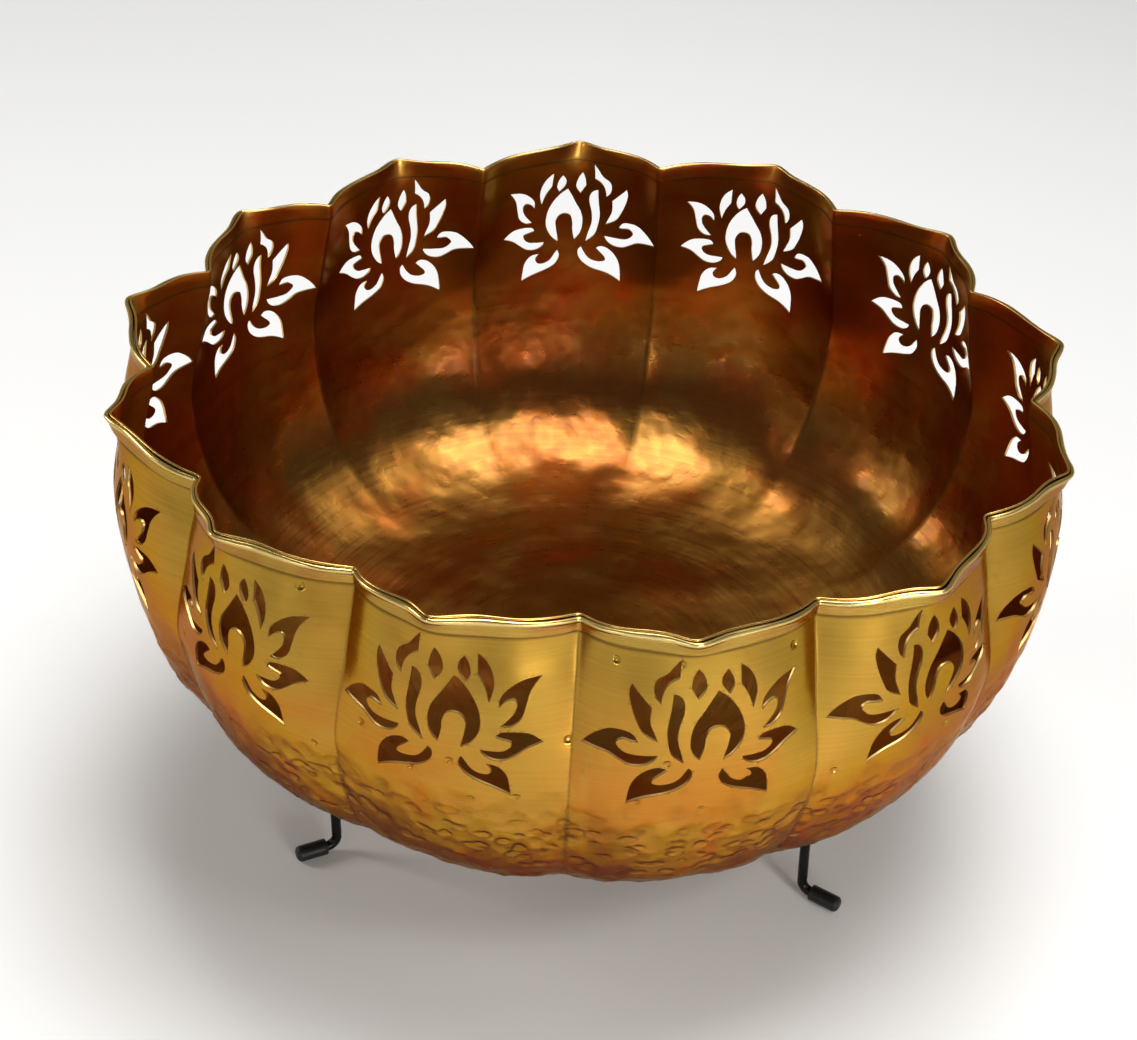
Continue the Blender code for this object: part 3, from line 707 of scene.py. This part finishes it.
def make_band():
    """The strip round the rim: a lipped section swept along the wall."""
    middle = LIP_DROP + LIP_RADIUS
    section = []
    for i in range(LIP_STEPS + 1):
        bend = math.pi * i / LIP_STEPS
        proud = BAND_GAP + LIP_RADIUS * (1 - math.cos(bend))
        section.append((middle - LIP_RADIUS * math.sin(bend), proud))
    outer = BAND_GAP + 2 * LIP_RADIUS
    for i in range(1, BAND_FACE_STEPS + 1):
        share = i / BAND_FACE_STEPS
        proud = outer + (BAND_FACE - outer) * (3 - 2 * share) * share**2
        section.append((middle + (LIP_END - middle) * share, proud))
    section.append((BAND_HEIGHT - 2 * FOOT_ROUND, BAND_LOW))
    for bend in (0.0, math.pi / 6, math.pi / 3, math.pi / 2):
        drop = BAND_HEIGHT - FOOT_ROUND * (1 - math.sin(bend))
        section.append((drop, BAND_FOOT + (BAND_LOW - BAND_FOOT) * math.cos(bend)))
    section.append((BAND_HEIGHT, BAND_GAP))
    even = np.linspace(0.0, 0.5, BAND_STATIONS // 2 + 1)
    fine = [0.5 - x / HALF_PANEL / 2 for x in CREASE_STATIONS]
    tips = [x / HALF_PANEL / 2 for x in TIP_STATIONS]
    half = np.unique(np.round(np.concatenate([even, fine, tips]), 6))
    stations = np.concatenate([-half[:0:-1], half])[:-1]
    turn = np.concatenate([lobe + stations for lobe in range(LOBES)])
    rim = wall_point(turn, 0.0 * turn)
    sway = np.array([noise.noise(Vector(p) / BAND_SWAY_LENGTH) for p in rim])
    dent = np.array([noise.noise(Vector(p) / BAND_DENT_LENGTH) for p in rim])
    rings = []
    marks = []
    for drop, proud in section:
        level = drop + BAND_SWAY * sway * (drop > LIP_END)
        rings.append(wall_point(turn, level, proud * (1 + BAND_DENT * dent * (proud > BAND_GAP))))
        # The rows where the strip meets the sheet are darkened: a dark joint, with painted shade.
        seam = np.full(len(turn), float(proud <= BAND_GAP))
        # The lip's mask, where the strip gets a painted highlight.
        lip = 1 - smooth_step(LIP_END / 2, LIP_END, level)
        marks.append(np.stack([turn, level, seam, lip], -1))
    vertices = np.stack(rings, 1).reshape(-1, 3)
    marks = np.stack(marks, 1).reshape(-1, 4)
    faces = tube_faces(len(turn), len(section), closed=True)
    attributes = {
        "brush": brush_vector(*marks.T[:2]),
        "patina_and_shade": marks[:, 2],
        "lip": marks[:, 3],
    }
    return make_object("crowned_rim_band", vertices, faces, attributes)


# ---- the stand

ROD_RADIUS = 0.0026
BEND_RADIUS = 0.0055            # inside the foot's bend, to the rod's middle line
FOOT_REACH = 0.0200             # from the leg's middle line to the rod's end
SLEEVE_RADIUS = 0.0043
SLEEVE_LENGTH = 0.0165
SLEEVE_END = 0.0024             # solid rubber past the rod's end
SLEEVE_ROUND = 0.0024
# Each leg's bearing in degrees, and how far it leans out from hoop to floor.
LEGS = {"back": (2.0, 0.0), "right": (122.5, 0.004), "left": (242.0, -0.0025)}
ROD_SIDES = 24
RING_STEPS = 180
LEG_TOP = 0.3                   # how far under the hoop's middle a leg starts, in rod radii
LEG_RINGS = 12                  # rings of points along a leg's straight rod
BEND_RINGS = 12
SLEEVE_GAP = 0.0001             # between rod and sleeve
SLEEVE_LIP = 0.0005             # how round the sleeve's open end is
SLEEVE_LIP_RINGS = 6
SLEEVE_WALL_RINGS = 6
SLEEVE_END_RINGS = 8
SLEEVE_CAP = 0.9                # the last ring of the closed end, in its flat part's radius
WELD_RINGS = 10
WELD_SIDES = 20
WELD_RADIUS = (1.02, 0.42)      # of its ends, and how much more in its middle, in rod radii
WELD_POWER = 0.7
WELD_SPAN = (0.35, 1.5)         # its start under the hoop's middle and its length, likewise
WELD_LUMP = 0.10
WELD_LUMP_LENGTH = 0.0016

ring_low, ring_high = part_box("stand_ring")
HOOP_HEIGHT = (ring_low.z + ring_high.z) / 2
RING_RADIUS = (ring_high.x - ring_low.x) / 2 - ROD_RADIUS

ACROSS = Vector((1.0, 0.0, 0.0))
BACK = Vector((0.0, 1.0, 0.0))
UP = Vector((0.0, 0.0, 1.0))


def circle(centre, axis_x, axis_y, radius=ROD_RADIUS, sides=ROD_SIDES):
    """A ring of points round a centre."""
    angles = math.tau * (np.arange(sides) + 0.5) / sides - math.pi / 2
    return [centre + radius * (math.cos(a) * axis_x + math.sin(a) * axis_y) for a in angles]


def make_hoop():
    """The round iron hoop."""
    points = []
    for i in range(RING_STEPS):
        angle = math.tau * i / RING_STEPS
        out = Vector((math.sin(angle), math.cos(angle), 0.0))
        points += circle(out * RING_RADIUS + UP * HOOP_HEIGHT, out, UP)
    return make_object("iron_hoop", points, tube_faces(RING_STEPS, ROD_SIDES, closed=True))


def make_leg(name, lean):
    """A leg in its own frame: it hangs from the hoop and its foot points along +X."""
    foot = SLEEVE_RADIUS - HOOP_HEIGHT
    points = []
    top = Vector((0.0, 0.0, -ROD_RADIUS * LEG_TOP))
    corner = Vector((lean, 0.0, foot + BEND_RADIUS))
    for i in range(LEG_RINGS):
        points += circle(top.lerp(corner, i / LEG_RINGS), ACROSS, BACK)
    centre = Vector((lean + BEND_RADIUS, 0.0, foot + BEND_RADIUS))
    for i in range(BEND_RINGS + 1):
        bend = math.pi / 2 * i / BEND_RINGS
        out = Vector((-math.cos(bend), 0.0, -math.sin(bend)))
        points += circle(centre + out * BEND_RADIUS, -out, BACK)
    points += circle(Vector((lean + FOOT_REACH, 0.0, foot)), UP, BACK)
    rings = LEG_RINGS + BEND_RINGS + 2
    return make_object("iron_leg_" + name, points, tube_faces(rings, ROD_SIDES))


def make_sleeve(name, lean):
    """A rubber sleeve: open towards the leg, with a round closed end."""
    bottom = lean + FOOT_REACH + SLEEVE_GAP
    end = bottom + SLEEVE_END
    mouth = end - SLEEVE_LENGTH + SLEEVE_LIP
    bore = ROD_RADIUS + SLEEVE_GAP
    middle = (bore + SLEEVE_RADIUS) / 2
    half = (SLEEVE_RADIUS - bore) / 2
    profile = [(bottom, bore), (mouth, bore)]
    for i in range(SLEEVE_LIP_RINGS + 1):
        bend = math.pi * i / SLEEVE_LIP_RINGS
        profile.append((mouth - SLEEVE_LIP * math.sin(bend), middle - half * math.cos(bend)))
    for i in range(1, SLEEVE_WALL_RINGS):
        along = i / SLEEVE_WALL_RINGS
        profile.append((mouth + (end - SLEEVE_ROUND - mouth) * along, SLEEVE_RADIUS))
    for i in range(SLEEVE_END_RINGS):
        bend = math.pi / 2 * i / SLEEVE_END_RINGS
        profile.append((
            end - SLEEVE_ROUND + SLEEVE_ROUND * math.sin(bend),
            SLEEVE_RADIUS - SLEEVE_ROUND + SLEEVE_ROUND * math.cos(bend),
        ))
    profile.append((end, (SLEEVE_RADIUS - SLEEVE_ROUND) * SLEEVE_CAP))
    points = []
    for x, radius in profile:
        points += circle(Vector((x, 0.0, SLEEVE_RADIUS - HOOP_HEIGHT)), BACK, UP, radius)
    return make_object("rubber_sleeve_" + name, points, tube_faces(len(profile), ROD_SIDES))


def make_weld(name):
    """The bead that joins a leg to the hoop, lumpy as weld is."""
    points = []
    for i in range(WELD_RINGS):
        share = i / (WELD_RINGS - 1)
        swell = math.sin(math.pi * share) ** WELD_POWER
        radius = ROD_RADIUS * (WELD_RADIUS[0] + WELD_RADIUS[1] * swell)
        centre = Vector((0.0, 0.0, -ROD_RADIUS * (WELD_SPAN[0] + WELD_SPAN[1] * share)))
        for point in circle(centre, ACROSS, BACK, radius, WELD_SIDES):
            lump = 1 + WELD_LUMP * noise.noise(point / WELD_LUMP_LENGTH)
            points.append(Vector((point.x * lump, point.y * lump, point.z)))
    return make_object("weld_" + name, points, tube_faces(WELD_RINGS, WELD_SIDES))


def place_at_leg(piece, angle):
    """Turn a piece made along +X to a leg's direction and set it under the hoop."""
    spin = math.radians(angle)
    out = Vector((math.sin(spin), math.cos(spin), 0.0))
    place = Matrix.Translation(out * RING_RADIUS + UP * HOOP_HEIGHT)
    piece.data.transform(place @ Matrix.Rotation(math.pi / 2 - spin, 4, "Z"))
    return piece


# ---- materials


class Nodes:
    """Short ways to build the node tree of a material or of the world."""

    def __init__(self, owner, shader="Principled BSDF"):
        owner.use_nodes = True
        self.owner = owner
        self.tree = owner.node_tree
        self.shader = self.tree.nodes[shader]

    def add(self, kind, inputs=None, **settings):
        """A node with its settings and its inputs, which are values or other sockets."""
        made = self.tree.nodes.new(kind)
        for key, value in settings.items():
            setattr(made, key, value)
        for key, value in (inputs or {}).items():
            if isinstance(value, bpy.types.NodeSocket):
                self.tree.links.new(value, made.inputs[key])
            else:
                made.inputs[key].default_value = value
        return made

    def set(self, values):
        """Give the shader's inputs these values."""
        for name, value in values.items():
            self.shader.inputs[name].default_value = value

    def link(self, source, name):
        """Link a socket to one of the shader's inputs."""
        self.tree.links.new(source, self.shader.inputs[name])

    def math(self, operation, *values):
        """A Math node's result."""
        return self.add("ShaderNodeMath", dict(enumerate(values)), operation=operation).outputs[0]

    def times(self, first, second):
        """A product."""
        return self.math("MULTIPLY", first, second)

    def attribute(self, name, output="Fac"):
        """A point attribute of the mesh."""
        return self.add("ShaderNodeAttribute", attribute_name=name).outputs[output]

    def scaled(self, vector, scale):
        """A vector stretched by three factors."""
        return self.add("ShaderNodeMapping", {"Vector": vector, "Scale": scale}).outputs[0]

    def noise(self, vector, scale, detail=3.0, roughness=0.6):
        """Noise texture's value, 0 to 1."""
        inputs = {"Vector": vector, "Scale": scale, "Detail": detail, "Roughness": roughness}
        return self.add("ShaderNodeTexNoise", inputs).outputs[0]

    def ramp(self, value, low, high, to_low=0.0, to_high=1.0):
        """A value moved from one span to another, and held at its ends."""
        inputs = {0: value, 1: low, 2: high, 3: to_low, 4: to_high}
        return self.add("ShaderNodeMapRange", inputs, interpolation_type="SMOOTHSTEP").outputs[0]

    def mix(self, share, first, second):
        """A colour between two."""
        inputs = {0: share, 6: first, 7: second}
        return self.add("ShaderNodeMix", inputs, data_type="RGBA").outputs[2]

    def bump(self, height, strength, distance, normal=None):
        """A Bump node's normal."""
        inputs = {"Height": height, "Strength": strength, "Distance": distance}
        if normal is not None:
            inputs["Normal"] = normal
        return self.add("ShaderNodeBump", inputs).outputs[0]


OLIVE_BRASS = (0.38, 0.225, 0.028, 1.0)
GOLD_BRASS = (0.44, 0.225, 0.028, 1.0)
ORANGE_BRASS = (0.45, 0.150, 0.016, 1.0)
BROWN_BRASS = (0.17, 0.058, 0.007, 1.0)
# dark of the patina and of the painted shade
DARK_PATINA_AND_SHADE = (0.035, 0.018, 0.006, 1.0)
CUT_BRASS = (0.75, 0.52, 0.20, 1.0)
# Inside of the sheet: painted lighter than the outside as painted light; its red tone comes and goes
# at random.
INNER_LIT_BRASS = (0.56, 0.29, 0.055, 1.0)
INNER_LIT_RED_BRASS = (0.58, 0.15, 0.030, 1.0)
BAND_BRASS = (0.36, 0.22, 0.030, 1.0)
BAND_STAIN = (0.33, 0.155, 0.018, 1.0)
# painted highlight of the band's rolled lip
LIP_HIGHLIGHT_BRASS = (0.72, 0.55, 0.20, 1.0)
EDGE_TINT = (0.60, 0.34, 0.09, 1.0)             # reflection at a glancing angle
IRON_PAINT = ((0.003, 0.003, 0.003, 1.0), (0.010, 0.009, 0.009, 1.0))
RUBBER = ((0.008, 0.008, 0.008, 1.0), (0.030, 0.029, 0.028, 1.0))
FLOOR_PAINT = (0.90, 0.90, 0.895, 1.0)
BRUSHING = (9.0, 9.0, 560.0)                    # brush marks round the sheet, per metre
FINE_BRUSHING = (18.0, 18.0, 2400.0)
BAND_BRUSHING = (10.0, 10.0, 900.0)
DRIFT_SCALE = (22.0, 22.0, 9.0)                 # slow drift between the tints
RUNS_SCALE = (42.0, 42.0, 11.0)                 # stains that run down the wall
MARK_SCALE = (105.0, 105.0, 150.0)              # small hammer marks
MARK_WARP = 0.009


def brass_material():
    """Brushed brass above, beaten and stained below, with painted shade at its bottom, in its
    creases, under the band and round its marks and cuts, and painted light inside.
    """
    n = Nodes(bpy.data.materials.new("aged_brass"))
    brush = n.attribute("brush", "Vector")
    down = n.add("ShaderNodeSeparateXYZ", {0: brush}).outputs[2]
    patina_and_shade = n.attribute("patina_and_shade")
    cut = n.attribute("cut")
    inside = n.attribute("inside")
    place = n.add("ShaderNodeTexCoord").outputs["Object"]
    streaks = n.noise(n.scaled(brush, BRUSHING), 1.0)
    fine = n.noise(n.scaled(brush, FINE_BRUSHING), 1.0, 2.0)
    clouds = n.noise(place, 16.0, 4.0)
    spots = n.noise(place, 75.0, 3.0, 0.7)
    # Small round hammer marks, warped, their broken outlines painted dark as painted shade.
    warp = n.add("ShaderNodeTexNoise", {"Vector": place, "Scale": 60.0, "Detail": 1.0}).outputs[1]
    warp = n.add("ShaderNodeVectorMath", {0: warp, 3: MARK_WARP}, operation="SCALE").outputs[0]
    warped = n.add("ShaderNodeVectorMath", {0: place, 1: warp}).outputs[0]
    warped = n.scaled(warped, MARK_SCALE)
    cells = n.add("ShaderNodeTexVoronoi", {"Vector": warped, "Scale": 1.0}, feature="F1").outputs[0]
    hammered = n.times(n.ramp(down, 0.085, 0.115), n.ramp(inside, 0.0, 1.0, 1.0, 0.08))
    beaten = n.times(n.ramp(cells, 0.24, 0.46), hammered)
    outline = n.times(n.ramp(cells, 0.28, 0.42), n.ramp(cells, 0.44, 0.58, 1.0, 0.0))
    outline = n.times(outline, hammered)
    outline = n.times(outline, n.ramp(spots, 0.42, 0.56, 0.0, 0.90))
    # Down the wall: olive, gold, then brown, the brown a painted shade that darkens the bottom.
    drift = n.noise(n.scaled(place, DRIFT_SCALE), 1.0, 3.0, 0.55)
    height = n.math("ADD", down, n.ramp(drift, 0.3, 0.7, -0.035, 0.035))
    colour = n.mix(n.ramp(height, 0.01, 0.085), OLIVE_BRASS, GOLD_BRASS)
    runs = n.noise(n.scaled(place, RUNS_SCALE), 1.0, 4.0)
    stained = n.math("MAXIMUM", n.ramp(clouds, 0.47, 0.66), n.ramp(runs, 0.52, 0.64))
    stained = n.times(stained, n.ramp(down, 0.03, 0.10, 0.10, 0.85))
    colour = n.mix(stained, colour, ORANGE_BRASS)
    colour = n.mix(n.ramp(height, 0.095, 0.165, 0.0, 0.75), colour, BROWN_BRASS)
    # Painted shade on the hammer marks' outlines.
    colour = n.mix(outline, colour, BROWN_BRASS)
    # Inside: the lighter brass as painted light, darker towards the bottom.
    inner = n.mix(n.ramp(clouds, 0.42, 0.60), INNER_LIT_BRASS, INNER_LIT_RED_BRASS)
    inner = n.mix(n.ramp(down, 0.09, 0.17, 0.0, 0.70), inner, BROWN_BRASS)
    colour = n.mix(n.times(inside, 0.85), colour, inner)
    colour = n.mix(n.ramp(spots, 0.60, 0.78, 0.0, 0.25), colour, BROWN_BRASS)
    outside = n.ramp(inside, 0.0, 1.0, 1.0, 0.2)
    shade = n.math("ADD", n.ramp(streaks, 0.3, 0.7, 0.0, 0.10), n.ramp(fine, 0.35, 0.75, 0.0, 0.16))
    shade = n.times(shade, outside)
    colour = n.mix(shade, colour, BROWN_BRASS)
    # Patina and painted shade: creases, the line under the band, the cuts' outlines and the marks'
    # hollows.
    colour = n.mix(n.times(patina_and_shade, 0.75), colour, DARK_PATINA_AND_SHADE)
    colour = n.mix(n.times(cut, 0.8), colour, CUT_BRASS)
    n.link(colour, "Base Color")
    rough = n.math("ADD", n.ramp(streaks, 0.25, 0.75, 0.18, 0.26), n.times(patina_and_shade, 0.20))
    rough = n.math("SUBTRACT", rough, n.ramp(down, 0.08, 0.12, 0.0, 0.05))
    rough = n.math("ADD", rough, n.times(inside, 0.10))
    n.link(rough, "Roughness")
    normal = n.bump(beaten, 0.60, 0.0008)
    normal = n.bump(n.times(fine, outside), 0.08, 0.0004, normal)
    normal = n.bump(n.times(streaks, outside), 0.07, 0.0008, normal)
    n.link(normal, "Normal")
    n.set({"Metallic": 1.0, "Specular Tint": EDGE_TINT, "Anisotropic": 0.45})
    n.set({"Coat Weight": 0.14, "Coat Roughness": 0.16})
    tangent = n.add("ShaderNodeTangent", direction_type="RADIAL", axis="Z")
    n.link(tangent.outputs[0], "Tangent")
    return n.owner


def band_material():
    """Polished brass strip with a painted highlight on its lip, and dark in the seam behind it: a
    dark joint with painted shade.
    """
    n = Nodes(bpy.data.materials.new("rim_band_brass"))
    brush = n.attribute("brush", "Vector")
    patina_and_shade = n.attribute("patina_and_shade")
    place = n.add("ShaderNodeTexCoord").outputs["Object"]
    streaks = n.noise(n.scaled(brush, BAND_BRUSHING), 1.0)
    clouds = n.noise(place, 28.0)
    colour = n.mix(n.ramp(clouds, 0.4, 0.65), BAND_BRASS, BAND_STAIN)
    colour = n.mix(n.ramp(streaks, 0.35, 0.7, 0.0, 0.14), colour, BROWN_BRASS)
    # Painted highlight on the lip, in a paler brass.
    lip = n.attribute("lip")
    colour = n.mix(n.times(lip, n.ramp(clouds, 0.25, 0.6, 1.0, 0.7)), colour, LIP_HIGHLIGHT_BRASS)
    # The seam: a dark joint, with painted shade.
    colour = n.mix(n.times(patina_and_shade, 0.9), colour, DARK_PATINA_AND_SHADE)
    n.link(colour, "Base Color")
    n.link(n.ramp(streaks, 0.25, 0.75, 0.20, 0.32), "Roughness")
    n.link(n.bump(streaks, 0.06, 0.0005), "Normal")
    n.set({"Metallic": 1.0, "Specular Tint": EDGE_TINT})
    n.set({"Coat Weight": 0.35, "Coat Roughness": 0.12})
    return n.owner


def iron_material():
    """Black painted rod with a soft gloss and small runs in the paint."""
    n = Nodes(bpy.data.materials.new("black_iron_paint"))
    place = n.add("ShaderNodeTexCoord").outputs["Object"]
    clouds = n.noise(place, 120.0, 4.0)
    grain = n.noise(place, 900.0, 2.0)
    n.link(n.mix(n.ramp(clouds, 0.45, 0.75, 0.0, 0.6), *IRON_PAINT), "Base Color")
    n.link(n.ramp(clouds, 0.3, 0.7, 0.20, 0.34), "Roughness")
    normal = n.bump(clouds, 0.25, 0.0006)
    n.link(n.bump(grain, 0.15, 0.0002, normal), "Normal")
    n.set({"Specular IOR Level": 0.15})
    return n.owner


def rubber_material():
    """Black rubber with a faint worn bloom."""
    n = Nodes(bpy.data.materials.new("black_rubber_sleeve"))
    place = n.add("ShaderNodeTexCoord").outputs["Object"]
    clouds = n.noise(place, 160.0, 4.0)
    grain = n.noise(place, 1400.0, 2.0)
    n.link(n.mix(n.ramp(clouds, 0.5, 0.8, 0.0, 0.7), *RUBBER), "Base Color")
    n.link(n.ramp(clouds, 0.3, 0.7, 0.36, 0.50), "Roughness")
    n.link(n.bump(grain, 0.2, 0.0002), "Normal")
    n.set({"Specular IOR Level": 0.25})
    return n.owner


def floor_material():
    """Plain pale floor."""
    n = Nodes(bpy.data.materials.new("pale_floor"))
    n.set({"Base Color": FLOOR_PAINT, "Roughness": 0.7})
    return n.owner


# ---- floor, light and camera

FLOOR_SIZE = 14.0
FLOOR_GAP = 0.0001
NEAR_WHITE = (1.0, 0.98, 0.95)
WARM_WHITE = (1.0, 0.98, 0.93)
HORIZON = (0.10, 0.45)          # where the bright band fades into the ceiling
HORIZON_LIGHT = 0.65
CEILING_LIGHT = 0.14
SKY_COLOUR = (1.0, 0.985, 0.96, 1.0)
CAMERA_PLACE = Vector((-0.01005, -0.89847, 0.53853 + RIM_HEIGHT))
CAMERA_PITCH = math.radians(35.285)
CAMERA_ROLL = math.radians(3.275)
CAMERA_LENS = 68.8
SENSOR = 36.0


def make_floor():
    """A wide square just under the feet."""
    half = FLOOR_SIZE / 2
    corners = [(-half, -half, 0.0), (half, -half, 0.0), (half, half, 0.0), (-half, half, 0.0)]
    mesh = bpy.data.meshes.new("studio_floor")
    mesh.from_pydata(corners, [], [(0, 1, 2, 3)])
    floor = new_object("studio_floor", mesh)
    floor.data.materials.append(floor_material())
    floor.location.z = cad_box[0][2] - FLOOR_GAP


def soft_box(name, place, target, width, height, power, colour=(1.0, 1.0, 1.0), spread=180.0):
    """A rectangular lamp that faces a point; a small spread keeps its light in a pool."""
    lamp = bpy.data.lights.new(name, "AREA")
    lamp.shape = "RECTANGLE"
    lamp.size = width
    lamp.size_y = height
    lamp.energy = power
    lamp.spread = math.radians(spread)
    lamp.color = colour
    holder = new_object(name, lamp)
    holder.location = place
    holder.rotation_euler = (Vector(target) - Vector(place)).to_track_quat("-Z", "Y").to_euler()


def make_lights():
    """Soft lamps round the bowl and one narrow pool of light on the floor."""
    middle = (0.0, 0.0, 0.2)
    soft_box("top_box", (0.2, 0.1, 2.3), middle, 1.5, 1.1, 48.0)
    soft_box("key_box", (0.75, -1.0, 1.3), (0.30, -0.55, 0.0), 0.3, 0.3, 0.9, NEAR_WHITE, 45.0)
    soft_box("front_box", (1.15, -2.25, 0.46), middle, 0.8, 0.6, 30.0, WARM_WHITE)
    soft_box("front_card", (-1.35, -2.1, 0.40), middle, 0.3, 0.4, 5.0, WARM_WHITE)
    soft_box("left_box", (-2.1, 0.3, 1.1), middle, 0.6, 0.9, 14.0, (1.0, 0.98, 0.94))


def make_world():
    """A soft studio: a bright band at the horizon under a dim ceiling."""
    n = Nodes(bpy.data.worlds.new("studio"), "Background")
    direction = n.add("ShaderNodeTexCoord").outputs["Generated"]
    height = n.add("ShaderNodeSeparateXYZ", {0: direction}).outputs["Z"]
    n.link(n.ramp(height, *HORIZON, HORIZON_LIGHT, CEILING_LIGHT), "Strength")
    n.set({"Color": SKY_COLOUR})
    bpy.context.scene.world = n.owner
    bpy.context.scene.view_settings.view_transform = "Standard"


def make_camera():
    """The viewing angle: from the front, pitched down and rolled a little."""
    back = Vector((0.0, -math.cos(CAMERA_PITCH), math.sin(CAMERA_PITCH)))
    up = back.cross(ACROSS)
    c = math.cos(CAMERA_ROLL)
    s = math.sin(CAMERA_ROLL)
    rows = Matrix((c * ACROSS + s * up, -s * ACROSS + c * up, back))
    camera = bpy.data.cameras.new("camera")
    camera.lens = CAMERA_LENS
    camera.sensor_width = SENSOR
    holder = new_object("camera", camera)
    holder.matrix_world = Matrix.Translation(CAMERA_PLACE) @ rows.transposed().to_4x4()
    bpy.context.scene.camera = holder


# ---- assembly


def dress(piece, material, body, slot, *nodes):
    """Give a piece its material and body, and hide the CAD nodes it stands for; slot is not used."""
    piece.data.materials.append(material)
    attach(piece, body)
    if nodes:
        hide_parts(*nodes)


def main():
    make_camera()
    make_world()
    make_lights()
    make_floor()
    dress(make_shell(), brass_material(), "bowl", "brass", "bowl_shell")
    dress(make_band(), band_material(), "bowl", "rim_brass", "rim_band")
    iron = iron_material()
    rubber = rubber_material()
    dress(make_hoop(), iron, "stand", "black_iron", "stand_ring")
    for name, (angle, lean) in LEGS.items():
        leg = place_at_leg(make_leg(name, lean), angle)
        dress(leg, iron, "stand", "black_iron", "stand_leg_" + name)
        sleeve = place_at_leg(make_sleeve(name, lean), angle)
        dress(sleeve, rubber, "stand", "black_rubber", "foot_sleeve_" + name)
        dress(place_at_leg(make_weld(name), angle), iron, "stand", "black_iron")


main()
